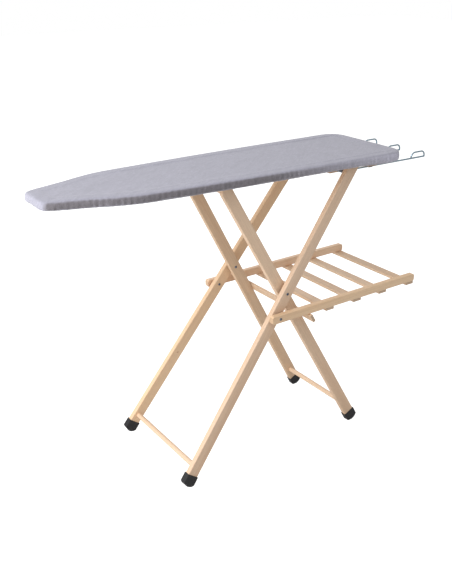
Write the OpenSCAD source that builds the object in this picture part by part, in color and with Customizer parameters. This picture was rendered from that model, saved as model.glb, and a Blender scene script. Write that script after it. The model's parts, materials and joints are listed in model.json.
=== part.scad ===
// Folding ironing board on two crossed wooden leg frames, with a slatted laundry rack
// and a wire iron rest. +X runs towards the iron rest, +Z is up, and the origin is on
// the floor under the middle of the object's box.

/* [Board] */
// Height of the ironing surface above the floor, at the hinge
board_h = 912; // [905:1:918]
// Slope of the board, down towards its nose, in degrees
board_a = 0.5; // [0:0.1:0.6]
// Length of the covered board
board_len = 1159; // [1150:1:1165]
// Width of the covered board at its square end
board_w = 350; // [346:1:352]
// Thickness of the plywood panel
panel_t = 10; // [9:0.5:11]
// Thickness of the felt pad
pad_t = 6; // [5:0.5:7]
// Height of the cover's side, hem included
side_h = 25; // [24:0.5:26]
// How far the cover's hem reaches in under the panel
hem_w = 26; // [22:1:28]

/* [Leg frames] */
// Width of a leg, across the folding plane's edge
leg_w = 37; // [36:0.5:38]
// Thickness of a leg
leg_t = 18; // [17.5:0.5:18]
// Angle of the outer legs above the floor, in degrees
outer_a = 53.7; // [53:0.1:54]
// Angle of the inner legs above the floor, in degrees
inner_a = 60.6; // [60:0.1:61]
// Wood of an outer leg below the crossing pivot, down to its foot cap
outer_low = 614; // [605:1:620]
// Sideways lean of each outer leg, in degrees
outer_splay = 3.15; // [2.8:0.05:3.2]
// Sideways lean of each inner leg, in degrees
inner_splay = 2.6; // [2:0.05:2.6]
// Half the outer frame's width at the crossing pivot
outer_y = 162; // [160:1:164]
// Gap between an outer and an inner leg at the crossing pivot
pivot_gap = 8; // [7.5:0.5:9]
// Diameter of the rungs and the crossbar
rung_d = 16; // [14:1:18]

/* [Rack] */
// Length of a rail from its pivot to its free end
rail_len = 551; // [548:1:556]
// Height of a rail
rail_h = 26; // [24:1:26]
// Thickness of a rail
rail_t = 18; // [16:1:18]
// Width of a slat
slat_w = 32; // [30:1:34]
// Thickness of a slat
slat_t = 9; // [8:0.5:10]
// Rise of the rack towards its free end, in degrees
rack_a = 1.9; // [1.9:0.1:2.2]

/* [Iron rest] */
// Diameter of the iron rest's wire
wire_d = 5; // [4:0.5:5]
// Spacing of the iron rest's wires
wire_gap = 112; // [100:1:115]
// Reach of the wires beyond the board
wire_reach = 139; // [120:1:145]

/* [Hidden] */

$fn = 48;
beech = "burlywood";
steel = "slategray";

// Board layers, from the ironing surface down
cover_t = 1.5;
wall_t = 3;
panel_top = board_h - cover_t - pad_t;
panel_z = panel_top - panel_t;
hem_z = board_h - side_h;

// Board outline: square tail, gently narrowing body, tapered blunt nose
tail_r = 60;
nose_r = 33;
nose_half = 74;
taper_half = 109.5;
body_drop = 26.5;
body_pow = 2.2;
shoulder_len = 268;
tail_out = board_len / 2 - 135.5;
nose_out = tail_out - board_len;
shoulder_x = nose_out + shoulder_len;
taper_x = nose_out + 135;

// Leg frames
cap_len = 28;
cap_wall = 1.5;
cap_r = 29;
foot_trim = 1;
edge_r = 3;
cap_axis = 7;
pivot_z = (outer_low + cap_axis) * sin(outer_a) + cap_r - foot_trim;
inner_low = (pivot_z - cap_r + foot_trim) / sin(inner_a) - cap_axis;
hinge_z = board_h - 49;
outer_arm = (hinge_z - pivot_z) / sin(outer_a);
hinge_x = outer_arm * cos(outer_a);
inner_y = outer_y - leg_t - pivot_gap;
hinge_face = outer_y - leg_t - outer_arm * tan(outer_splay);
rung_up = 26;
inner_rung_up = 40;
rung_depth = 9;
foot_depth = 22;
leg_top = 25;
stop_hole_at = 340;

// Fold: the outer legs turn by fold_max, and the inner legs by inner_ratio times as much.
// Both angles are to the board, so that the crossbar starts and ends level with the hinge.
fold_max = 37;
outer_b = outer_a - board_a;
inner_b = inner_a + board_a;
inner_arm = outer_arm * sin(outer_b) / sin(inner_b);
fold_end_inner = asin(outer_arm * sin(outer_b - fold_max) / inner_arm);
inner_ratio = (inner_b - fold_end_inner) / fold_max;
ride_gap = 0.4;
notch_step = 3;
notch_lift = 4;

// Battens and hinge blocks
batten_in = 40;
batten_wide = 20;
batten_x0 = -535;
batten_screw_at = [-500, -420, -120, 30, 180];
block_in = 54;
block_wide = 22;
block_len = 60;
block_drop = 10;
rod_r = 5;
rod_depth = 12;
bolt_r = 3;
fit = 0.05;
slack = 0.1;
seat = 0.6;
head_r = 4.5;
head_h = 2.8;

// Lengths of the wood screws
batten_screw = 22;
block_screw = 30;
cleat_screw = 24;
saddle_screw = 14;
slat_screw = 24;
support_screw = 32;

// Rack
rack_drop = 76;
rack_y = outer_y + 10;
rail_back = 29;
slat_at = [176, 288, 397, 517];
slat_recess = 2;
bar_at = 97;
bar_w = 28;
bar_t = 9;
bar_half = 196;

// Iron rest
wire_z = 865;
loop_h = 18;
loop_len = 58;
near_bend = 17;
far_bend = 13;
wire_in = 150;
cross_wire_in = 20;
weld = 0.8;
cleat_x = tail_out - 112;
cleat_w = 34;
cleat_half = 124;
saddle_w = 12;
saddle_wing = 11;
saddle_hole = 7.5;
saddle_t = 1.5;

x_shift = -(nose_out + tail_out + wire_reach + wire_d / 2) / 2;

// ---------- outline of the board, drawn g inside the cover's edge ----------

function arc(cx, cy, r, a0, a1, n) = [for (i = [0:n])
    [cx + r * cos(a0 + (a1 - a0) * i / n), cy + r * sin(a0 + (a1 - a0) * i / n)]];

function body_half(x) = board_w / 2
    - body_drop * pow((tail_out - tail_r - x) / (tail_out - tail_r - shoulder_x), body_pow);

function bezier(a, b, c, t) = a * (1 - t) * (1 - t) + b * 2 * t * (1 - t) + c * t * t;

function half_outline(g) = concat(
    arc(tail_out - tail_r, board_w / 2 - tail_r, tail_r - g, 0, 90, 8),
    [for (i = [1:9]) let (x = tail_out - tail_r + (shoulder_x - tail_out + tail_r) * i / 10)
        [x, body_half(x) - g]],
    [for (i = [0:8]) bezier([shoulder_x, body_half(shoulder_x) - g],
        [shoulder_x - 50, body_half(shoulder_x) - 4 - g], [taper_x, taper_half - 1.05 * g],
        i / 8)],
    let (r = max(nose_r - g, 4))
        arc(nose_out + g + r, nose_half - 1.05 * g - r, r, 108, 180, 5));

function mirrored(half) = [for (i = [len(half) - 1:-1:0]) [half[i][0], -half[i][1]]];

module slab(g, z0, z1) {
    half = half_outline(g);
    translate([0, 0, z0]) linear_extrude(z1 - z0) polygon(concat(half, mirrored(half)));
}

// ---------- helpers ----------

module in_row() {
    translate([x_shift, 0, 0]) children();
}

// The board's own frame, sloping about the hinge
module on_board() {
    in_row() translate([hinge_x, 0, hinge_z]) rotate([0, -board_a, 0])
        translate([-hinge_x, 0, -hinge_z]) children();
}

module both_sides() {
    children();
    mirror([0, 1, 0]) children();
}

module outer_frame() {
    translate([0, 0, pivot_z]) rotate([0, -outer_a, 0]) children();
}

module inner_frame() {
    translate([0, 0, pivot_z]) rotate([0, inner_a - 180, 0]) children();
}

module rack_frame() {
    translate([-rack_drop * cos(outer_a), 0, pivot_z - rack_drop * sin(outer_a)])
        rotate([0, -rack_a, 0]) children();
}

// Cylinder along Y between two y values
module y_rod(r, y0, y1) {
    translate([0, y0, 0]) rotate([-90, 0, 0]) cylinder(r = r, h = y1 - y0);
}

module soft_rectangle(a, b, r) {
    square([a - 2 * r, b], center = true);
    square([a, b - 2 * r], center = true);
    for (u = [-1, 1], v = [-1, 1])
        translate([u * (a / 2 - r), v * (b / 2 - r)]) circle(r);
}

// Bar along X from x0 to x1, a wide in Y and b high in Z, with eased long edges
module eased_bar(x0, x1, a, b, r) {
    translate([x0, 0, 0]) rotate([90, 0, 90])
        linear_extrude(x1 - x0) soft_rectangle(a, b, r);
}

// Low domed head along +Y on a flat seat at y0
module dome_head(r, h, y0) {
    ball = (r * r + h * h) / (2 * h);
    translate([0, y0, 0]) rotate([-90, 0, 0]) intersection() {
        translate([0, 0, h - ball]) sphere(ball, $fn = 64);
        cylinder(r = r, h = h);
    }
}

// Head with a hexagon socket
module socket_head(r, h, y0) {
    difference() {
        dome_head(r, h, y0);
        translate([0, y0 + h / 2, 0]) rotate([-90, 0, 0]) cylinder(r = 1.6, h = h, $fn = 6);
    }
}

// Countersunk screw along -Z, its head flush with z = 0
module wood_screw(len) {
    translate([0, 0, -2.5]) cylinder(r1 = 1.5, r2 = 3.5, h = 2.5);
    translate([0, 0, -len]) cylinder(r = 1.5, h = len);
}

// ---------- leg frames ----------

// Where a leg's middle lies at the crossing pivot, leaning inwards towards its top
module splayed(face_y, lean) {
    translate([0, face_y - leg_t / 2, 0]) rotate([0, 0, -lean]) children();
}

module leg_bar(low, end, face_y, lean) {
    splayed(face_y, lean)
        eased_bar(-low - foot_depth, end / cos(lean), leg_t, leg_w, edge_r);
}

// Leg's side view, with its top rounded about the end of its arm
module round_top(low, arm, face_y, lean) {
    splayed(face_y, lean) rotate([90, 0, 0]) linear_extrude(3 * leg_t, center = true) union() {
        translate([-low - foot_depth, -leg_w / 2])
            square([low + foot_depth + arm / cos(lean), leg_w]);
        translate([arm / cos(lean), 0]) circle(leg_w / 2);
    }
}

// Spot face that squares a leg's inner side to a bolt at s along the leg
module inner_seat(s, face_y, lean, r) {
    y = face_y - leg_t - s * tan(lean);
    translate([s, 0, 0]) y_rod(r, y - 10, y + seat);
}

// The same on both of the leg's sides
module seats(s, face_y, lean, r) {
    y = face_y - s * tan(lean);
    translate([s, 0, 0]) y_rod(r, y - seat, y + 10);
    inner_seat(s, face_y, lean, r);
}

// The outer legs' tops are cut level, leg_top above the hinge
module outer_leg() {
    difference() {
        drilled_outer_leg();
        translate([hinge_x - outer_arm / 2, 0, hinge_z + leg_top])
            cube([outer_arm, 2 * outer_y, outer_arm]);
    }
}

module drilled_outer_leg() {
    outer_frame() difference() {
        leg_bar(outer_low, outer_arm + 2 * leg_w, outer_y, outer_splay);
        y_rod(bolt_r + fit, 0, 2 * outer_y);
        seats(0, outer_y, outer_splay, 9);
        translate([-rack_drop, 0, 0]) y_rod(bolt_r + fit, 0, 2 * outer_y);
        seats(-rack_drop, outer_y, outer_splay, 8);
        translate([outer_arm, 0, 0]) y_rod(rod_r + fit, 0, hinge_face + rod_depth);
        inner_seat(outer_arm, outer_y, outer_splay, 8.5);
        translate([rung_up - outer_low, 0, 0])
            y_rod(rung_d / 2, 0, rung_half(outer_y, outer_splay, outer_low - rung_up));
        translate([-stop_hole_at, 0, 0])
            y_rod(2.5, 0, outer_y - leg_t + stop_hole_at * tan(outer_splay) + 6);
    }
}

module inner_leg() {
    inner_frame() difference() {
        intersection() {
            leg_bar(inner_low, inner_arm + leg_w, inner_y, inner_splay);
            round_top(inner_low, inner_arm, inner_y, inner_splay);
        }
        y_rod(bolt_r + fit, 0, 2 * inner_y);
        seats(0, inner_y, inner_splay, 9);
        translate([inner_arm, 0, 0])
            y_rod(rung_d / 2, 0, rung_half(inner_y, inner_splay, -inner_arm));
        translate([inner_rung_up - inner_low, 0, 0])
            y_rod(rung_d / 2, 0, rung_half(inner_y, inner_splay, inner_low - inner_rung_up));
        support_holes(inner_y - leg_t / 2);
    }
}

// Half the length of a rung that lies down below the crossing pivot
function rung_half(face_y, lean, down) = face_y - leg_t + down * tan(lean) + rung_depth;

module rung(half) {
    y_rod(rung_d / 2, -half, half);
}

module foot_cap(low, face_y, lean) {
    wide = leg_w + 2 * cap_wall;
    splayed(face_y, lean) difference() {
        rotate([90, 0, 0]) linear_extrude(leg_t + 2 * cap_wall, center = true) intersection() {
            union() {
                translate([-low - cap_len, -wide / 2]) square([cap_len, wide]);
                translate([-low - cap_axis, 0]) circle(cap_r);
            }
            translate([-low - 2 * cap_len, -wide / 2]) square([2 * cap_len, wide]);
        }
        translate([-low - foot_depth, -leg_t / 2 - slack, -leg_w / 2 - slack])
            cube([2 * cap_len, leg_t + 2 * slack, leg_w + 2 * slack]);
    }
}

module above_floor() {
    difference() {
        children();
        translate([-1000, -500, -100]) cube([2000, 1000, 100]);
    }
}

// Two wood screws through the support bar into an inner leg's edge
module support_spots(y) {
    for (u = [-0.22, 0.22])
        translate([-bar_at - bar_w / 2 + u * bar_w, y + (bar_at + bar_w / 2) * tan(inner_splay),
            -leg_w / 2 - bar_t]) rotate([180, 0, 0]) children();
}

module support_holes(y) {
    support_spots(y) wood_screw(support_screw);
}

// ---------- rack ----------

module rail() {
    rack_frame() translate([0, rack_y + rail_t / 2, 0]) difference() {
        intersection() {
            eased_bar(-rail_back, rail_len, rail_t, rail_h, 2.5);
            rotate([90, 0, 0]) linear_extrude(2 * rail_t, center = true)
                translate([(rail_len - rail_back) / 2, 0])
                    soft_rectangle(rail_len + rail_back, rail_h, 8);
        }
        y_rod(bolt_r + fit, -rail_t, rail_t);
        for (u = slat_at)
            translate([u + slat_w / 2, 0, -rail_h / 2 - slat_t]) rotate([180, 0, 0])
                wood_screw(slat_screw);
    }
}

module slat_spots(u) {
    both_sides() translate([u + slat_w / 2, rack_y + rail_t / 2, -rail_h / 2 - slat_t])
        rotate([180, 0, 0]) children();
}

module slat(u) {
    half = rack_y + rail_t - slat_recess;
    color(beech) in_row() rack_frame() difference() {
        translate([u + slat_w / 2, 0, -rail_h / 2 - slat_t / 2]) rotate([0, 0, 90])
            eased_bar(-half, half, slat_w, slat_t, 1.5);
        slat_spots(u) wood_screw(slat_screw);
    }
}

// ---------- board ----------

// Crossbar's place under the board after the outer legs have turned by a
function ride_x(a) = hinge_x - outer_arm * cos(outer_b - a)
    - inner_arm * cos(inner_b - inner_ratio * a);
function ride_z(a) = hinge_z - outer_arm * sin(outer_b - a)
    + inner_arm * sin(inner_b - inner_ratio * a);

module batten() {
    clear = rung_d / 2 + ride_gap;
    steps = 24;
    front_x = hinge_x - block_len / 2 - 2;
    translate([0, batten_in + batten_wide, 0]) rotate([90, 0, 0]) linear_extrude(batten_wide)
        difference() {
            polygon(concat([[front_x, panel_z], [batten_x0, panel_z],
                [batten_x0, ride_z(fold_max) + clear]],
                [for (i = [steps:-1:0]) let (a = fold_max * i / steps)
                    [ride_x(a), ride_z(a) + clear]],
                [[ride_x(0) + 30, ride_z(0) + clear], [front_x, ride_z(0) + clear]]));
            for (i = [0:5])
                translate([ride_x(i * notch_step), ride_z(i * notch_step) + notch_lift])
                    circle(clear);
        }
}

module batten_spots() {
    for (x = batten_screw_at)
        translate([x, batten_in + batten_wide / 2, panel_top]) children();
}

module hinge_block() {
    translate([hinge_x, block_in, 0]) difference() {
        translate([-block_len / 2, 0, hinge_z - block_drop])
            cube([block_len, block_wide, panel_z - hinge_z + block_drop]);
        translate([0, 0, hinge_z]) y_rod(rod_r, -1, block_wide + 1);
    }
}

module block_spots() {
    for (u = [-1, 1])
        translate([hinge_x + u * 20, block_in + block_wide / 2, panel_top]) children();
}

module board_screws() {
    both_sides() {
        batten_spots() wood_screw(batten_screw);
        block_spots() wood_screw(block_screw);
    }
    cleat_spots() wood_screw(cleat_screw);
}

module cleat_spots() {
    both_sides() translate([cleat_x + cleat_w / 2, cleat_half - 35, panel_top]) children();
}

module rest_cleat_blank() {
    translate([cleat_x, -cleat_half, wire_z + wire_d / 2])
        cube([cleat_w, 2 * cleat_half, panel_z - wire_z - wire_d / 2]);
}

module saddle_spots() {
    for (j = [-1:1], v = [-1, 1])
        translate([cleat_x + cleat_w / 2, j * wire_gap + v * saddle_hole,
            wire_z + wire_d / 2 - saddle_t])
            rotate([180, 0, 0]) children();
}

// Saddle strap over one wire, screwed up into the cleat
module saddle() {
    difference() {
        translate([-saddle_w / 2, 0, 0]) rotate([90, 0, 90]) linear_extrude(saddle_w) union() {
            translate([-saddle_wing, wire_d / 2 - saddle_t]) square([2 * saddle_wing, saddle_t]);
            circle(wire_d / 2 + saddle_t);
        }
        rotate([0, 90, 0]) cylinder(r = wire_d / 2, h = 2 * saddle_w, center = true);
        translate([-saddle_w, -wire_d / 2, 0]) cube([2 * saddle_w, wire_d, 2 * wire_d]);
        translate([-saddle_w, -20, wire_d / 2]) cube([2 * saddle_w, 40, 20]);
    }
}

// Quarter bend of wire in the XZ plane about the origin, from angle a0
module quarter_bend(r, a0) {
    rotate([90, 0, 0]) rotate([0, 0, a0]) rotate_extrude(angle = 90)
        translate([r, 0]) circle(wire_d / 2);
}

module rest_wire() {
    far_x = tail_out + wire_reach;
    near_x = far_x - loop_len;
    top_z = wire_z + loop_h;
    translate([tail_out - wire_in, 0, wire_z]) rotate([0, 90, 0])
        cylinder(r = wire_d / 2, h = wire_in + wire_reach);
    for (end = [[near_x, near_bend], [far_x, far_bend]])
        translate([end[0], 0, wire_z]) {
            cylinder(r = wire_d / 2, h = loop_h - end[1]);
            sphere(wire_d / 2);
        }
    translate([near_x + near_bend, 0, top_z - near_bend]) quarter_bend(near_bend, 90);
    translate([far_x - far_bend, 0, top_z - far_bend]) quarter_bend(far_bend, 0);
    translate([near_x + near_bend, 0, top_z]) rotate([0, 90, 0])
        cylinder(r = wire_d / 2, h = loop_len - near_bend - far_bend);
}

// ---------- nodes ----------

module panel() {
    color("tan") on_board() difference() {
        slab(wall_t + 0.3, panel_z, panel_top);
        board_screws();
    }
}

module pad() {
    color("beige") on_board() slab(wall_t + 0.3, panel_top, panel_top + pad_t);
}

module cover() {
    color("silver") on_board() difference() {
        slab(0, hem_z, board_h);
        slab(wall_t, panel_z, panel_top + pad_t);
        slab(hem_w, hem_z - 1, panel_z + 1);
        difference() {
            slab(8, hem_z + 2, hem_z + 5.5);
            slab(12, hem_z + 1, hem_z + 7);
        }
    }
}

module hem_elastic() {
    color("white") on_board() difference() {
        slab(8.2, hem_z + 2.2, hem_z + 5.3);
        slab(11.8, hem_z + 1, hem_z + 7);
    }
}

module batten_back() {
    color(beech) on_board() difference() {
        batten();
        batten_spots() wood_screw(batten_screw);
    }
}

module batten_front() {
    mirror([0, 1, 0]) batten_back();
}

module batten_screws() {
    color(steel) on_board() both_sides() batten_spots() wood_screw(batten_screw);
}

module hinge_block_back() {
    color(beech) on_board() difference() {
        hinge_block();
        block_spots() wood_screw(block_screw);
    }
}

module hinge_block_front() {
    mirror([0, 1, 0]) hinge_block_back();
}

module block_screws() {
    color(steel) on_board() both_sides() block_spots() wood_screw(block_screw);
}

// Rod that ends inside both outer legs
module hinge_rod() {
    half = hinge_face + rod_depth - 0.5;
    color(steel) in_row() translate([hinge_x, 0, hinge_z]) y_rod(rod_r, -half, half);
}

module hinge_spacers() {
    color(steel) in_row() both_sides() translate([hinge_x, 0, hinge_z]) difference() {
        y_rod(7, block_in + block_wide, hinge_face + seat - slack);
        y_rod(rod_r, 0, outer_y);
    }
}

module rest_cleat() {
    color(beech) on_board() difference() {
        rest_cleat_blank();
        cleat_spots() wood_screw(cleat_screw);
        saddle_spots() wood_screw(saddle_screw);
    }
}

module iron_rest() {
    color("lightsteelblue") on_board() {
        for (j = [-1:1])
            translate([0, j * wire_gap, 0]) rest_wire();
        translate([tail_out - cross_wire_in, 0, wire_z + wire_d - weld])
            y_rod(wire_d / 2, -wire_gap - 8, wire_gap + 8);
    }
}

module rest_clips() {
    color(steel) on_board() difference() {
        for (j = [-1:1])
            translate([cleat_x + cleat_w / 2, j * wire_gap, wire_z]) saddle();
        saddle_spots() wood_screw(saddle_screw);
    }
}

module rest_screws() {
    color(steel) on_board() {
        saddle_spots() wood_screw(saddle_screw);
        cleat_spots() wood_screw(cleat_screw);
    }
}

module outer_leg_back() {
    color(beech) in_row() outer_leg();
}

module outer_leg_front() {
    mirror([0, 1, 0]) outer_leg_back();
}

module outer_rung() {
    color(beech) in_row() outer_frame() translate([rung_up - outer_low, 0, 0])
        rung(rung_half(outer_y, outer_splay, outer_low - rung_up));
}

module outer_cap_back() {
    color("dimgray") in_row() above_floor() outer_frame()
        foot_cap(outer_low, outer_y, outer_splay);
}

module outer_cap_front() {
    mirror([0, 1, 0]) outer_cap_back();
}

module pivot_bolts() {
    color(steel) in_row() both_sides() outer_frame() {
        y_rod(bolt_r, inner_y - leg_t - 1, outer_y - seat + 1);
        socket_head(head_r, head_h, outer_y - seat);
    }
}

module pivot_nuts() {
    inner_seat = inner_y - leg_t + seat - slack;
    color(steel) in_row() both_sides() outer_frame() difference() {
        mirror([0, 1, 0]) dome_head(head_r, head_h, -inner_seat);
        y_rod(bolt_r, inner_y - leg_t - 1, inner_y);
    }
}

module pivot_spacers() {
    color(steel) in_row() both_sides() outer_frame() difference() {
        y_rod(8, inner_y - seat + slack, outer_y - leg_t + seat);
        y_rod(bolt_r, 0, 2 * outer_y);
    }
}

rack_face = outer_y + rack_drop * tan(outer_splay);

module at_rack_pivot() {
    color(steel) in_row() both_sides() outer_frame() translate([-rack_drop, 0, 0]) children();
}

module rack_bolts() {
    at_rack_pivot() {
        y_rod(bolt_r, rack_face - leg_t - 1, rack_y + rail_t + 1);
        socket_head(head_r, head_h, rack_y + rail_t + slack);
    }
}

module rack_nuts() {
    at_rack_pivot() difference() {
        mirror([0, 1, 0]) dome_head(head_r, head_h, -(rack_face - leg_t + seat));
        y_rod(bolt_r, rack_face - leg_t - 1, rack_face);
    }
}

module rack_spacers() {
    at_rack_pivot() difference() {
        y_rod(7, rack_face - seat, rack_y - slack);
        y_rod(bolt_r, 0, 2 * outer_y);
    }
}

module inner_leg_back() {
    color(beech) in_row() inner_leg();
}

module inner_leg_front() {
    mirror([0, 1, 0]) inner_leg_back();
}

module inner_rung() {
    color(beech) in_row() inner_frame() translate([inner_rung_up - inner_low, 0, 0])
        rung(rung_half(inner_y, inner_splay, inner_low - inner_rung_up));
}

module crossbar() {
    color(beech) in_row() inner_frame() translate([inner_arm, 0, 0])
        rung(rung_half(inner_y, inner_splay, -inner_arm));
}

module inner_cap_back() {
    color("dimgray") in_row() above_floor() inner_frame()
        foot_cap(inner_low, inner_y, inner_splay);
}

module inner_cap_front() {
    mirror([0, 1, 0]) inner_cap_back();
}

module support_bar() {
    color(beech) in_row() inner_frame() difference() {
        translate([-bar_at - bar_w / 2, 0, -leg_w / 2 - bar_t / 2]) rotate([0, 0, 90])
            eased_bar(-bar_half, bar_half, bar_w, bar_t, 1.5);
        both_sides() support_holes(inner_y - leg_t / 2);
    }
}

module support_screws() {
    color(steel) in_row() both_sides() inner_frame()
        support_spots(inner_y - leg_t / 2) wood_screw(support_screw);
}

module rack_rail_back() {
    color(beech) in_row() rail();
}

module rack_rail_front() {
    mirror([0, 1, 0]) rack_rail_back();
}

module slat_screws() {
    color(steel) in_row() rack_frame()
        for (u = slat_at)
            slat_spots(u) wood_screw(slat_screw);
}

panel();
pad();
cover();
hem_elastic();
batten_front();
batten_back();
batten_screws();
hinge_block_front();
hinge_block_back();
block_screws();
hinge_rod();
hinge_spacers();
rest_cleat();
iron_rest();
rest_clips();
rest_screws();
outer_leg_front();
outer_leg_back();
outer_rung();
outer_cap_front();
outer_cap_back();
pivot_bolts();
pivot_nuts();
pivot_spacers();
rack_bolts();
rack_nuts();
rack_spacers();
inner_leg_front();
inner_leg_back();
inner_rung();
crossbar();
inner_cap_front();
inner_cap_back();
support_bar();
support_screws();
rack_rail_front();
rack_rail_back();
slat(slat_at[0]);  // slat_1
slat(slat_at[1]);  // slat_2
slat(slat_at[2]);  // slat_3
slat(slat_at[3]);  // slat_4
slat_screws();
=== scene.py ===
"""Looks for a folding ironing board: a padded cotton cover gathered over the panel, oiled
beech legs and rack, a chromed wire rest and black foot caps."""

import json
import math

import bpy
import numpy as np
from mathutils import Matrix, Vector, noise
from mathutils.geometry import delaunay_2d_cdt


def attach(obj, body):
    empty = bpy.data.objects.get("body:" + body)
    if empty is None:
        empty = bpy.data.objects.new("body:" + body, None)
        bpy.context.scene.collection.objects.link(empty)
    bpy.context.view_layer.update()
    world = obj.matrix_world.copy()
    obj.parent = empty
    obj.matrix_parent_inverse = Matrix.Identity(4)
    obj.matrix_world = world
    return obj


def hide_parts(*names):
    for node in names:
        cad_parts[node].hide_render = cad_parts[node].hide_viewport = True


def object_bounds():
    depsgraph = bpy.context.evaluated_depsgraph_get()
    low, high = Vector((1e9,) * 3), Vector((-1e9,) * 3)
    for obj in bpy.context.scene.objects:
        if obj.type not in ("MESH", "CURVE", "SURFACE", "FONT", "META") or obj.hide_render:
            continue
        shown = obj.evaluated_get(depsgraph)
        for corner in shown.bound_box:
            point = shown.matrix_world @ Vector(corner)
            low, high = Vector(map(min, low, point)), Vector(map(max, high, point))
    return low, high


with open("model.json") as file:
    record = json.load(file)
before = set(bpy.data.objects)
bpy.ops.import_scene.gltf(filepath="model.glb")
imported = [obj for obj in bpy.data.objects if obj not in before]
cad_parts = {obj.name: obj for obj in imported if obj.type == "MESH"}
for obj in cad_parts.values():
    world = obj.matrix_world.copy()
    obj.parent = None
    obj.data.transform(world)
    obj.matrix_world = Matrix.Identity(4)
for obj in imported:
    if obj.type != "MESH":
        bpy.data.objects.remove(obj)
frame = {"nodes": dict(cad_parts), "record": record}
cad_low, cad_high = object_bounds()
nodes = frame["nodes"]
record = frame["record"]
scene = bpy.context.scene

MM = 0.001

# The board slopes a little about its hinge. Its soft goods are made level and then turned.
hinge = Vector(next(j for j in record["behaviour"]["joints"] if j["name"] == "leg_fold")["pos_m"])
up = Vector(next(m for m in record["mounts"] if m["name"] == "ironing_surface")["axis"])
slope = (Matrix.Translation(hinge) @ Vector((0, 0, 1)).rotation_difference(up).to_matrix().to_4x4()
         @ Matrix.Translation(-hinge))


# ---------- mesh helpers ----------

def levelled(node):
    """A board node's points as they are when the board is level."""
    back = slope.inverted()
    return np.array([back @ v.co for v in nodes[node].data.vertices])


def outline_of(points):
    """The outline at the top of a slab's points, in order round its middle."""
    rows = points[points[:, 2] > points[:, 2].max() - 0.05 * MM, :2]
    rows = np.unique(np.round(rows, 5), axis=0)
    away = rows - (rows.min(0) + rows.max(0)) / 2
    return rows[np.argsort(np.arctan2(away[:, 1], away[:, 0]))]


def curve_between(p0, p1, p2, p3, share):
    """Centripetal Catmull-Rom points from p1 to p2."""
    t1 = math.sqrt(np.linalg.norm(p1 - p0))
    t2 = t1 + math.sqrt(np.linalg.norm(p2 - p1))
    t3 = t2 + math.sqrt(np.linalg.norm(p3 - p2))
    t = (t1 + share * (t2 - t1))[:, None]
    a1 = (t1 - t) / t1 * p0 + t / t1 * p1
    a2 = (t2 - t) / (t2 - t1) * p1 + (t - t1) / (t2 - t1) * p2
    a3 = (t3 - t) / (t3 - t2) * p2 + (t - t2) / (t3 - t2) * p3
    b1 = (t2 - t) / t2 * a1 + t / t2 * a2
    b2 = (t3 - t) / (t3 - t1) * a2 + (t - t1) / (t3 - t1) * a3
    return (t2 - t) / (t2 - t1) * b1 + (t - t1) / (t2 - t1) * b2


def smooth_loop(points, step):
    """Evenly spaced points on a smooth closed curve through the given ones, and the outward normals."""
    n = len(points)
    share = np.linspace(0, 1, 24, endpoint=False)
    fine = np.concatenate([curve_between(points[i - 1], points[i], points[(i + 1) % n],
                                         points[(i + 2) % n], share) for i in range(n)])
    closed = np.vstack([fine, fine[:1]])
    along = np.concatenate([[0], np.cumsum(np.linalg.norm(np.diff(closed, axis=0), axis=1))])
    count = round(along[-1] / step)
    at = np.linspace(0, along[-1], count, endpoint=False)
    loop = np.stack([np.interp(at, along, closed[:, k]) for k in (0, 1)], axis=1)
    tangent = np.roll(loop, -1, axis=0) - np.roll(loop, 1, axis=0)
    for _ in range(3):
        tangent = (tangent + np.roll(tangent, 1, axis=0) + np.roll(tangent, -1, axis=0)) / 3
    normal = np.stack([tangent[:, 1], -tangent[:, 0]], axis=1)
    return loop, normal / np.linalg.norm(normal, axis=1)[:, None]


def fill(loop, normal, spacing):
    """Flat triangles inside a loop on a staggered grid. The loop's own points come first."""
    low, high = loop.min(0), loop.max(0)
    row_gap = spacing * math.sqrt(3) / 2
    rows = np.arange(low[1] + row_gap / 2, high[1], row_gap)
    grid = np.array([(x, y) for k, y in enumerate(rows)
                     for x in np.arange(low[0] + spacing * (0.25 + 0.5 * (k % 2)), high[0], spacing)])
    nearest = np.array([np.argmin(((loop - p) ** 2).sum(1)) for p in grid])
    depth = ((loop[nearest] - grid) * normal[nearest]).sum(1)
    inner = grid[depth > 0.7 * spacing]
    points = [Vector(p) for p in np.vstack([loop, inner])]
    ring = [(i, (i + 1) % len(loop)) for i in range(len(loop))]
    _, _, faces, ids, _, _ = delaunay_2d_cdt(points, ring, [], 1, 1e-7)
    source = [i[0] for i in ids]
    return np.array(points), [tuple(source[i] for i in f) for f in faces]


def new_mesh(name, points, faces):
    mesh = bpy.data.meshes.new(name)
    mesh.from_pydata([tuple(p) for p in points], [], faces)
    mesh.polygons.foreach_set("use_smooth", [True] * len(faces))
    mesh.update()
    piece = bpy.data.objects.new(name, mesh)
    scene.collection.objects.link(piece)
    return piece


def ring_faces(starts, count):
    """Quads between neighbouring rings of points, given where each ring starts."""
    return [(a + i, b + i, b + (i + 1) % count, a + (i + 1) % count)
            for a, b in zip(starts, starts[1:]) for i in range(count)]


def profile_path(corners, step):
    """Evenly spaced (outward, height) points along a profile of lines and arcs, and how far along
    the profile each one is."""
    path = np.array(corners, float)
    along = np.concatenate([[0], np.cumsum(np.linalg.norm(np.diff(path, axis=0), axis=1))])
    at = np.linspace(0, along[-1], round(along[-1] / step) + 1)
    return at, np.stack([np.interp(at, along, path[:, k]) for k in (0, 1)], axis=1)


def arc_points(x, z, r, a0, a1, n=10):
    return [(x + r * math.cos(math.radians(a0 + (a1 - a0) * i / n)),
             z + r * math.sin(math.radians(a0 + (a1 - a0) * i / n))) for i in range(n + 1)]


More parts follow.
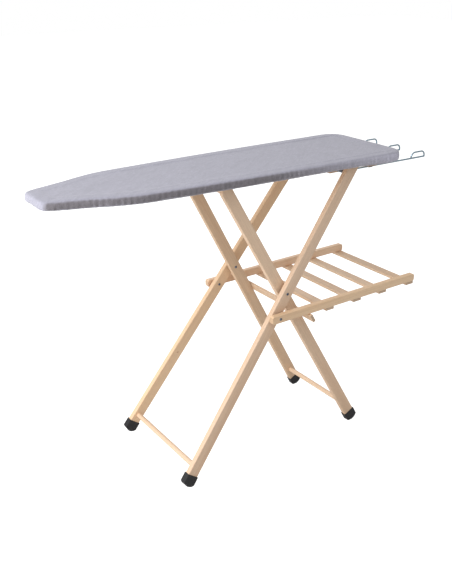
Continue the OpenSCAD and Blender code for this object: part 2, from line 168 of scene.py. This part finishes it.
def apply_modifiers(piece):
    """Replaces a piece's mesh with what its modifiers make of it."""
    graph = bpy.context.evaluated_depsgraph_get()
    made = bpy.data.meshes.new_from_object(piece.evaluated_get(graph))
    piece.modifiers.clear()
    if piece.data.shape_keys:
        piece.shape_key_clear()
    piece.data = made
    return piece


# ---------- camera, light and floor ----------

def studio():
    """The camera, the soft lights, a pale sky and a pale floor."""
    camera = bpy.data.objects.new("camera", bpy.data.cameras.new("camera"))
    scene.collection.objects.link(camera)
    camera.location = (-1.3633, -1.9963, 1.4849)
    camera.rotation_euler = (math.radians(90 - 22.27), 0, math.radians(-33.3))
    camera.data.lens = 51.19
    camera.data.clip_start = 0.05
    scene.camera = camera
    scene.view_settings.view_transform = "Standard"

    world = bpy.data.worlds.new("studio")
    scene.world = world
    world.use_nodes = True
    tree = world.node_tree
    sky = tree.nodes["Background"]
    seen = tree.nodes.new("ShaderNodeLightPath").outputs["Is Camera Ray"]
    strength = tree.nodes.new("ShaderNodeMapRange")
    strength.inputs["To Min"].default_value = 0.5
    strength.inputs["To Max"].default_value = 1.0
    tree.links.new(seen, strength.inputs["Value"])
    tree.links.new(strength.outputs["Result"], sky.inputs["Strength"])
    sky.inputs["Color"].default_value = (1, 1, 1, 1)

    middle = (cad_low + cad_high) / 2
    for name, offset, size, power in (
        ("key", (-2.5, -0.35, 2.0), 2.2, 67),
        ("left", (-2.6, 0.1, -0.1), 1.6, 34),
        ("front", (0.9, -2.8, 0.9), 2.0, 5),
        ("back", (1.2, 2.4, 1.6), 1.8, 16),
    ):
        light = bpy.data.objects.new(name, bpy.data.lights.new(name, "AREA"))
        scene.collection.objects.link(light)
        light.data.size = size
        light.data.energy = power
        light.location = middle + Vector(offset)
        light.rotation_euler = (-Vector(offset)).to_track_quat("-Z", "Y").to_euler()

    half = 14
    floor = new_mesh("floor", [(-half, -half, 0), (half, -half, 0), (half, half, 0), (-half, half, 0)],
                     [(0, 1, 2, 3)])
    paint = Paint("pale_floor")
    seen = paint.add("LightPath").outputs["Is Camera Ray"]
    paint.shader(base=(0.62, 0.62, 0.62), roughness=0.8, emission_color=(1, 1, 1),
                 emission_strength=paint.ramp(seen, 0, 1, 0, 0.85))
    floor.data.materials.append(paint.material)


# ---------- materials ----------

COTTON = (0.375, 0.37, 0.44)
PALE = (0.89, 0.685, 0.5)
TAN = (0.81, 0.575, 0.39)


class Paint:
    """A material built from nodes."""

    def __init__(self, name):
        self.material = bpy.data.materials.new(name)
        self.material.use_nodes = True
        self.tree = self.material.node_tree
        self.bsdf = self.tree.nodes["Principled BSDF"]

    def add(self, kind, inputs=None, **settings):
        """A node, with its inputs set to numbers or joined to other nodes' outputs."""
        made = self.tree.nodes.new("ShaderNode" + kind)
        for key, value in settings.items():
            setattr(made, key, value)
        for key, value in (inputs or {}).items():
            self.put(made.inputs[key], value)
        return made

    def put(self, socket, value):
        if isinstance(value, bpy.types.NodeSocket):
            self.tree.links.new(value, socket)
        elif socket.type == "RGBA" and len(value) == 3:
            socket.default_value = (*value, 1)
        else:
            socket.default_value = value

    def shader(self, base=None, roughness=None, bump=None, **others):
        for key, value in (("Base Color", base), ("Roughness", roughness), ("Normal", bump)):
            if value is not None:
                self.put(self.bsdf.inputs[key], value)
        for key, value in others.items():
            self.put(self.bsdf.inputs[key.replace("_", " ").title().replace("Ior", "IOR")], value)

    def where(self, turn=None, offset=(0, 0, 0)):
        """Places in the piece's own frame, turned so that X runs along the piece."""
        place = self.add("TexCoord").outputs["Object"]
        settings = {"Vector": place, "Location": offset}
        if turn is not None:
            settings["Rotation"] = turn
        return self.add("Mapping", settings).outputs["Vector"]

    def stretched(self, place, scale):
        return self.add("Mapping", {"Vector": place, "Scale": scale}).outputs["Vector"]

    def noise(self, place, scale, detail=3.0, rough=0.5, distortion=0.0):
        return self.add("TexNoise", {"Vector": place, "Scale": scale, "Detail": detail,
                                     "Roughness": rough, "Distortion": distortion}).outputs["Fac"]

    def ramp(self, value, low, high, first=0.0, last=1.0):
        """value from low to high, mapped to first to last and held outside."""
        return self.add("MapRange", {"Value": value, "From Min": low, "From Max": high,
                                     "To Min": first, "To Max": last}).outputs["Result"]

    def mix(self, share, a, b, way="MIX"):
        made = self.add("Mix", data_type="RGBA", blend_type=way)
        for key, value in (("Factor_Float", share), ("A_Color", a), ("B_Color", b)):
            self.put(next(s for s in made.inputs if s.identifier == key), value)
        return next(s for s in made.outputs if s.identifier == "Result_Color")

    def math(self, way, a, b=0.0):
        made = self.add("Math", operation=way)
        self.put(made.inputs[0], a)
        self.put(made.inputs[1], b)
        return made.outputs[0]

    def bumps(self, *layers):
        """Stacked bumps, each (height, strength, distance)."""
        normal = None
        for height, strength, distance in layers:
            inputs = {"Height": height, "Strength": strength, "Distance": distance}
            if normal is not None:
                inputs["Normal"] = normal
            normal = self.add("Bump", inputs).outputs["Normal"]
        return normal


def tint(colour, factor, lean=(1, 1, 1)):
    """A colour made lighter or darker, and leaning to red, green or blue."""
    return tuple(factor * c * k for c, k in zip(colour, lean))


def along_piece(piece):
    """The direction of a piece's longest run, from its points."""
    points = np.array([v.co for v in piece.data.vertices])
    _, _, axes = np.linalg.svd(points - points.mean(0), full_matrices=False)
    direction = Vector(axes[0])
    return direction if direction.x + 0.5 * direction.y > 0 else -direction


def wood(name, piece, seed, pale, tan, flecks=1.0):
    """Planed beech: fine straight grain, ray flecks, slow bands and darker end grain."""
    direction = along_piece(piece)
    turn = direction.rotation_difference(Vector((1, 0, 0))).to_euler()
    paint = Paint(name)
    place = paint.where(turn, (0.37 * seed, 0.11 * seed, 0.23 * seed))
    slow = paint.noise(paint.stretched(place, (1.2, 26, 26)), 1.0, 3, 0.55, 0.4)
    grain = paint.noise(paint.stretched(place, (9, 420, 420)), 1.0, 4, 0.6, 0.2)
    pores = paint.noise(paint.stretched(place, (40, 1500, 1500)), 1.0, 2, 0.6)
    fleck = paint.noise(paint.stretched(place, (150, 900, 900)), 1.0, 1, 0.4)
    base = paint.mix(paint.ramp(slow, 0.32, 0.7), pale, tan)
    base = paint.mix(paint.ramp(grain, 0.35, 0.75, 0, 0.42), base, [0.72 * c for c in tan])
    base = paint.mix(paint.ramp(fleck, 0.62, 0.74, 0, 0.3 * flecks), base, [0.5 * c for c in tan])
    base = paint.mix(paint.ramp(pores, 0.6, 0.8, 0, 0.18), base, [0.4 * c for c in tan])
    facing = paint.add("VectorMath", {0: paint.add("TexCoord").outputs["Normal"], 1: direction},
                       operation="DOT_PRODUCT").outputs["Value"]
    end = paint.ramp(paint.math("ABSOLUTE", facing), 0.75, 0.95, 0, 0.55)
    base = paint.mix(end, base, [0.55 * c for c in tan])
    paint.shader(base=base, roughness=paint.ramp(grain, 0.3, 0.8, 0.42, 0.58),
                 bump=paint.bumps((grain, 0.25, 0.3 * MM), (pores, 0.2, 0.15 * MM)),
                 specular_ior_level=0.4)
    return paint.material


def cotton():
    """Brushed cotton: crossed threads under a slanting nap brushed up in streaks and tufts. Along the long
    sides painted shade makes it darker and warmer by the nose, and painted light makes it lighter towards
    the square end."""
    paint = Paint("brushed_cotton")
    place = paint.where()
    threads = [paint.add("TexWave", {"Vector": place, "Scale": 210.0, "Distortion": 1.2, "Detail": 1.0,
                                     "Detail Scale": 2.0}, bands_direction=way).outputs["Fac"]
               for way in "XY"]
    weave = paint.math("MULTIPLY", *threads)
    slant = paint.where((0, 0, math.radians(-38)))
    nap = paint.noise(paint.stretched(slant, (110, 360, 240)), 1.0, 5, 0.65, 0.8)
    streak = paint.noise(paint.stretched(slant, (45, 190, 120)), 1.0, 4, 0.6, 0.6)
    tuft = paint.noise(place, 210.0, 3, 0.65, 1.2)
    brushed = paint.noise(paint.stretched(slant, (14, 75, 40)), 1.0, 3, 0.6, 0.5)
    mottle = paint.noise(place, 24.0, 4, 0.6, 0.6)
    base = paint.mix(paint.ramp(mottle, 0.3, 0.7), COTTON, tint(COTTON, 1.14))
    base = paint.mix(paint.ramp(nap, 0.35, 0.75, 0, 0.5), base, tint(COTTON, 1.3))
    base = paint.mix(paint.ramp(streak, 0.5, 0.72, 0, 0.6), base, tint(COTTON, 1.42))
    base = paint.mix(paint.ramp(tuft, 0.52, 0.7, 0, 0.5), base, tint(COTTON, 0.78))
    base = paint.mix(paint.ramp(brushed, 0.5, 0.75, 0, 0.35), base, tint(COTTON, 0.84))
    base = paint.mix(paint.ramp(weave, 0.0, 0.6, 0.2, 0), base, tint(COTTON, 0.55))
    # Painted shade and light: faces turned to ±Y, the long sides, are darkened and warmed near the nose and
    # lightened towards the square end.
    faces = paint.add("SeparateXYZ", {"Vector": paint.add("TexCoord").outputs["Normal"]})
    side = paint.ramp(paint.math("ABSOLUTE", faces.outputs["Y"]), 0.55, 0.9)
    along = paint.add("SeparateXYZ", {"Vector": place}).outputs["X"]
    painted_side_light_and_shade = paint.mix(paint.ramp(along, 0.0, 0.5), (0.55, 0.52, 0.48), (1.5, 1.5, 1.5))
    base = paint.mix(side, base, painted_side_light_and_shade, "MULTIPLY")
    paint.shader(base=base, roughness=paint.ramp(nap, 0.2, 0.8, 0.82, 0.95),
                 bump=paint.bumps((mottle, 0.3, 0.8 * MM), (streak, 0.5, 0.9 * MM),
                                  (tuft, 0.45, 0.7 * MM), (nap, 0.45, 0.5 * MM),
                                  (weave, 0.3, 0.15 * MM)),
                 sheen_weight=0.3, sheen_roughness=0.45, specular_ior_level=0.2)
    return paint.material


def felt():
    """Needled felt with faint clumps and short fibres."""
    paint = Paint("felt")
    place = paint.where()
    fibres = paint.noise(place, 900.0, 4, 0.7, 1.5)
    clumps = paint.noise(place, 70.0, 3, 0.5)
    base = paint.mix(paint.ramp(clumps, 0.3, 0.7), (0.62, 0.6, 0.55), (0.74, 0.72, 0.67))
    base = paint.mix(paint.ramp(fibres, 0.5, 0.8, 0, 0.35), base, (0.42, 0.4, 0.38))
    paint.shader(base=base, roughness=0.95,
                 bump=paint.bumps((clumps, 0.3, 0.6 * MM), (fibres, 0.5, 0.3 * MM)),
                 sheen_weight=0.3)
    return paint.material


def elastic():
    """Ribbed elastic cord."""
    paint = Paint("elastic")
    ribs = paint.add("TexWave", {"Vector": paint.where(), "Scale": 180.0, "Distortion": 2.0,
                                 "Detail": 2.0}, bands_direction="DIAGONAL").outputs["Fac"]
    paint.shader(base=paint.mix(ribs, (0.5, 0.49, 0.46), (0.78, 0.77, 0.73)), roughness=0.85,
                 bump=paint.bumps((ribs, 0.5, 0.3 * MM)))
    return paint.material


def plywood():
    """Rotary-cut birch face veneer with broad, slow figure and a few dark streaks."""
    paint = Paint("plywood")
    place = paint.where()
    figure = paint.noise(paint.stretched(place, (1.6, 14, 14)), 1.0, 4, 0.6, 1.6)
    grain = paint.noise(paint.stretched(place, (14, 520, 520)), 1.0, 3, 0.6)
    streak = paint.noise(paint.stretched(place, (2.5, 60, 60)), 1.0, 2, 0.5, 0.6)
    base = paint.mix(paint.ramp(figure, 0.3, 0.7), (0.66, 0.5, 0.33), (0.55, 0.38, 0.23))
    base = paint.mix(paint.ramp(grain, 0.4, 0.8, 0, 0.4), base, (0.4, 0.26, 0.15))
    base = paint.mix(paint.ramp(streak, 0.66, 0.78, 0, 0.35), base, (0.3, 0.18, 0.1))
    paint.shader(base=base, roughness=paint.ramp(grain, 0.3, 0.8, 0.55, 0.7),
                 bump=paint.bumps((grain, 0.3, 0.25 * MM)))
    return paint.material


def steel():
    """Zinc-plated steel with a blue cast, slightly clouded and finely scratched."""
    paint = Paint("plated_steel")
    place = paint.where()
    cloud = paint.noise(place, 260.0, 3, 0.6)
    scratch = paint.noise(paint.stretched(place, (300, 4000, 900)), 1.0, 2, 0.6)
    base = paint.mix(paint.ramp(cloud, 0.3, 0.7), (0.1, 0.12, 0.16), (0.2, 0.235, 0.29))
    paint.shader(base=base, roughness=paint.ramp(cloud, 0.3, 0.7, 0.26, 0.42), metallic=1.0,
                 bump=paint.bumps((scratch, 0.15, 0.05 * MM)))
    return paint.material


def chrome_wire():
    """Chromed wire, finely drawn along its length."""
    paint = Paint("chromed_wire")
    place = paint.where()
    drawn = paint.noise(paint.stretched(place, (60, 1500, 1500)), 1.0, 2, 0.5)
    cloud = paint.noise(place, 120.0, 2, 0.5)
    base = paint.mix(paint.ramp(cloud, 0.3, 0.7), (0.3, 0.42, 0.5), (0.44, 0.57, 0.65))
    paint.shader(base=base, roughness=paint.ramp(drawn, 0.3, 0.7, 0.1, 0.24), metallic=1.0,
                 bump=paint.bumps((drawn, 0.1, 0.05 * MM)))
    return paint.material


def moulded_plastic():
    """Black moulded plastic with a fine spark texture and scuffs low down."""
    paint = Paint("black_plastic")
    place = paint.where()
    spark = paint.noise(place, 1800.0, 2, 0.5)
    scuff = paint.noise(paint.stretched(place, (90, 90, 400)), 1.0, 4, 0.7, 0.6)
    height = paint.add("SeparateXYZ", {"Vector": place}).outputs["Z"]
    worn = paint.math("MULTIPLY", paint.ramp(scuff, 0.5, 0.75), paint.ramp(height, 0.0, 22 * MM, 0.6, 0.08))
    base = paint.mix(worn, (0.012, 0.012, 0.014), (0.09, 0.09, 0.095))
    paint.shader(base=base, roughness=paint.ramp(scuff, 0.3, 0.75, 0.42, 0.62),
                 bump=paint.bumps((spark, 0.25, 0.08 * MM)))
    return paint.material


# ---------- the board's soft goods ----------

def loft(name, loop, normal, corners, spacing):
    """A closed slab: a flat filled top, a profile swept round the loop, and a flat filled bottom."""
    _, profile = profile_path(corners, spacing)
    top, top_faces = fill(loop + normal * profile[0][0], normal, 4 * spacing)
    bottom, bottom_faces = fill(loop + normal * profile[-1][0], normal, 4 * spacing)
    count = len(loop)
    points = [(x, y, profile[0][1]) for x, y in top]
    starts = [0]
    for out, height in profile[1:-1]:
        starts.append(len(points))
        points += [(x, y, height) for x, y in loop + normal * out]
    starts.append(len(points))
    base = len(points)
    points += [(x, y, profile[-1][1]) for x, y in bottom]
    faces = top_faces + ring_faces(starts, count)
    faces += [tuple(base + i for i in reversed(f)) for f in bottom_faces]
    return new_mesh(name, points, faces)


cover_points, pad_points, panel_points = (levelled(n) for n in ("cover", "pad", "panel"))
cloth_t = 1.2 * MM
cloth_step = 5 * MM
loop, loop_normal = smooth_loop(outline_of(cover_points), cloth_step)
wall = panel_points[:, 0].min() - cover_points[:, 0].min()
top_z = cover_points[:, 2].max()
hem_z = cover_points[:, 2].min()
pad_z = pad_points[:, 2].min()
pad_top = pad_points[:, 2].max()
panel_z = panel_points[:, 2].min()
shoulder = 9.5 * MM


def pad_edge(inset):
    """Profile of the pad's edge, pressed into a soft shoulder over the panel's edge."""
    return [(x, z) for x, z in arc_points(0, 0, 1, 90, 0)
            for x, z in [(-inset - shoulder + x * shoulder, pad_z + z * (pad_top - pad_z))]]


def felt_pad():
    """The pad under the cover."""
    pad = loft("felt_pad", loop, loop_normal, pad_edge(wall + 0.2 * MM) + [(-wall - 0.2 * MM, pad_z)],
               2 * MM)
    pad.data.transform(slope)
    pad.data.materials.append(felt())
    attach(pad, "board")
    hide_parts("pad")


def cover_profile():
    """From the top's edge, over the pad's shoulder, down the side and in along the hem."""
    skin = cloth_t / 2
    over, under = 11 * MM, 3.5 * MM
    bottom = hem_z + skin
    hem_in = 25 * MM
    return (arc_points(-skin - over, top_z - skin - over, over, 90, 0)
            + arc_points(-skin - under, bottom + under, under, 0, -90)
            + [(-hem_in, bottom + 2.5 * MM)])


def fullness(x, y):
    """How gathered the cover is at a place: slack in patches, most towards the square end."""
    along = (x - loop[:, 0].min()) / np.ptp(loop[:, 0])
    patch = noise.noise(Vector((x * 7, y * 7, 3.1)))
    return max(0.15, 0.55 + 0.45 * along + 0.9 * patch)


def droop(x):
    """How far the slack cloth hangs below the hem's fold, towards the square end."""
    most, before_end, run = 5 * MM, 230 * MM, 170 * MM
    share = min(1.0, max(0.0, (x - loop[:, 0].max() + before_end) / run))
    return most * share * share * (3 - 2 * share)


def gathers(count):
    """Phase of the gathers round the loop, with their pitch wandering about its middle value."""
    middle, wander = 15.5 * MM, 7.2 * MM
    pitch = [middle + wander * noise.noise(Vector((i * 0.11, 0.7, 9.3))) for i in range(count)]
    phase = np.cumsum([2 * math.pi * cloth_step / p for p in pitch])
    return phase * round(phase[-1] / (2 * math.pi)) * 2 * math.pi / phase[-1]


def cover_meshes():
    """The cover's points smoothly wrapped, its points with the gathers' extra cloth, its faces,
    the index where each ring starts, and the area of its flat cut."""
    lengths, profile = profile_path(cover_profile(), 4 * MM)
    inner_loop = loop + loop_normal * profile[0][0]
    flat, faces = fill(inner_loop, loop_normal, 9 * MM)
    count = len(loop)
    wrapped = [(x, y, profile[0][1]) for x, y in flat]
    rippled = list(wrapped)
    phase = gathers(count)
    full = np.array([fullness(x, y) for x, y in loop])
    starts = [0]
    for k in range(1, len(profile)):
        starts.append(len(wrapped))
        out, height = profile[k]
        before, after = profile[k - 1], profile[min(k + 1, len(profile) - 1)]
        facing = np.array([after[1] - before[1], before[0] - after[0]])
        facing = -facing / np.linalg.norm(facing)
        rise = min(1.0, (lengths[k] / (26 * MM)) ** 1.3)
        below = max(0.0, -facing[1])
        wave = (1 - 0.8 * below) * rise * full * MM * (2.0 * np.sin(phase)
                                                       + 0.9 * np.sin(2.3 * phase + 1.0))
        hang = rise * min(1.0, lengths[k] / (35 * MM))
        for i in range(count):
            x, y = loop[i] + loop_normal[i] * out
            z = height - hang * droop(x)
            wrapped.append((x, y, z))
            dx, dy = loop_normal[i] * facing[0] * wave[i]
            rippled.append((x + dx, y + dy, z + facing[1] * wave[i]))
    cut = loop + loop_normal * (profile[0][0] + lengths[-1])
    turned = np.roll(cut, -1, axis=0)
    area = abs((cut[:, 0] * turned[:, 1] - cut[:, 1] * turned[:, 0]).sum()) / 2
    faces += ring_faces(starts, count)
    return np.array(wrapped), np.array(rippled), faces, starts, cut, area


def settle(cloth, core, wrapped, rippled, starts):
    """Lets the cover's extra cloth settle over the padded panel, held by its hem's stitches. The
    simulation smooths most gathers away, so a share of them is added back to its result."""
    steps, cap, gathers_kept = 25, 6 * MM, 0.8
    shake, flat_from_edge, stitch_every = 0.12 * MM, 45 * MM, 3
    rng = np.random.default_rng(7)
    count = len(loop)
    edge = starts[1]
    cloth.shape_key_add(name="Basis")
    rest = cloth.shape_key_add(name="cut")
    rest.data.foreach_set("co", rippled.ravel())
    loose = (np.arange(len(wrapped)) >= edge)[:, None]
    shaken = wrapped + rng.normal(0, shake, wrapped.shape) * loose
    cloth.data.vertices.foreach_set("co", shaken.ravel())
    cloth.data.shape_keys.key_blocks["Basis"].data.foreach_set("co", shaken.ravel())

    held = cloth.vertex_groups.new(name="held")
    near = np.array([np.abs(loop - p[:2]).sum(1).min() for p in wrapped[:edge]])
    held.add([int(i) for i in np.flatnonzero(near > flat_from_edge)], 1.0, "REPLACE")
    stitched = starts[-3]
    held.add([stitched + i for i in range(0, count, stitch_every)], 1.0, "REPLACE")

    core.modifiers.new("collision", "COLLISION")
    core.collision.thickness_outer = 0.6 * MM
    core.collision.cloth_friction = 6
    made = cloth.modifiers.new("cloth", "CLOTH")
    made.settings.quality = 6
    made.settings.mass = 0.25
    made.settings.air_damping = 3
    made.settings.tension_stiffness = 25
    made.settings.compression_stiffness = 25
    made.settings.shear_stiffness = 8
    made.settings.bending_stiffness = 0.15
    made.settings.vertex_group_mass = "held"
    made.settings.rest_shape_key = rest
    made.settings.effector_weights.gravity = 0.3
    made.collision_settings.distance_min = 0.6 * MM
    made.collision_settings.use_self_collision = False
    made.point_cache.frame_start = 1
    made.point_cache.frame_end = steps + 5
    for step in range(1, steps + 1):
        scene.frame_set(step)
    apply_modifiers(cloth)
    scene.frame_set(1)
    core.modifiers.clear()

    now = np.zeros(len(wrapped) * 3)
    cloth.data.vertices.foreach_get("co", now)
    now = now.reshape(-1, 3)
    moved = now - wrapped
    far = np.linalg.norm(moved, axis=1)
    moved *= np.minimum(1, cap / np.maximum(far, 1e-9))[:, None]
    final = wrapped + moved + gathers_kept * (rippled - wrapped)
    cloth.data.vertices.foreach_set("co", final.ravel())
    cloth.data.update()


def raise_nap(cloth):
    """Moves the points along their normals in small tufts, tallest on the sides."""
    on_top, more_on_sides = 0.12 * MM, 0.75 * MM
    vertices = cloth.data.vertices
    points, normals = np.zeros(3 * len(vertices)), np.zeros(3 * len(vertices))
    vertices.foreach_get("co", points)
    vertices.foreach_get("normal", normals)
    points, normals = points.reshape(-1, 3), normals.reshape(-1, 3)
    height = np.array([noise.noise(p * 130) + 0.6 * noise.noise(p * 240 + Vector((5, 3, 1)))
                       for p in map(Vector, points)])
    height *= on_top + more_on_sides * (1 - abs(normals[:, 2]))
    vertices.foreach_set("co", (points + normals * height[:, None]).ravel())
    cloth.data.update()


def cotton_cover():
    """The cover: one sheet over the pad, gathered by the elastic in its hem."""
    wrapped, rippled, faces, starts, cut, area = cover_meshes()
    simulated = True
    cover = new_mesh("cotton_cover", wrapped if simulated else rippled, faces)
    if simulated:
        corners = pad_edge(wall) + arc_points(-wall - MM, panel_z + MM, MM, 0, -90)
        core = loft("core", loop, loop_normal, corners, 3 * MM)
        settle(cover, core, wrapped, rippled, starts)
        bpy.data.objects.remove(core)
    thick = cover.modifiers.new("thickness", "SOLIDIFY")
    thick.thickness = cloth_t
    thick.offset = 0
    finer = cover.modifiers.new("finer", "SUBSURF")
    finer.levels = finer.render_levels = 1
    apply_modifiers(cover)
    raise_nap(cover)
    cover.data.polygons.foreach_set("use_smooth", [True] * len(cover.data.polygons))
    cover.data.transform(slope)
    cover.data.materials.clear()
    cover.data.materials.append(cotton())
    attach(cover, "board")
    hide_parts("cover")


# ---------- CAD pieces' materials ----------

def dress_frame():
    """Gives each CAD piece its material. Each wooden piece is its own board, a little different."""
    slots = {s["node"]: s["material_slot"] for s in record["subparts"]}
    shared = {"steel": steel(), "wire": chrome_wire(), "cap": moulded_plastic(),
              "elastic": elastic(), "plywood": plywood()}
    leans = {"rack_rail_back": (1.04, 0.99, 0.96), "rack_rail_front": (1.02, 0.975, 0.89),
             "outer_leg_front": (0.99, 0.965, 0.97), "outer_leg_back": (1.03, 0.99, 0.91),
             "inner_leg_front": (0.96, 0.94, 0.93), "inner_leg_back": (1.0, 0.99, 0.96)}
    for seed, name in enumerate(sorted(slots)):
        piece = nodes[name]
        slot = slots[name]
        if slot in shared:
            material = shared[slot]
        elif slot == "beech":
            vary = noise.noise(Vector((seed * 3.7, 1.3, 0.4)))
            lean = leans.get(name, (1, 1, 1))
            material = wood(name + "_beech", piece, seed, tint(PALE, 1 + 0.06 * vary, lean),
                            tint(TAN, 1 + 0.1 * vary, lean))
        else:
            continue
        piece.data.materials.clear()
        piece.data.materials.append(material)


studio()
dress_frame()
felt_pad()
cotton_cover()
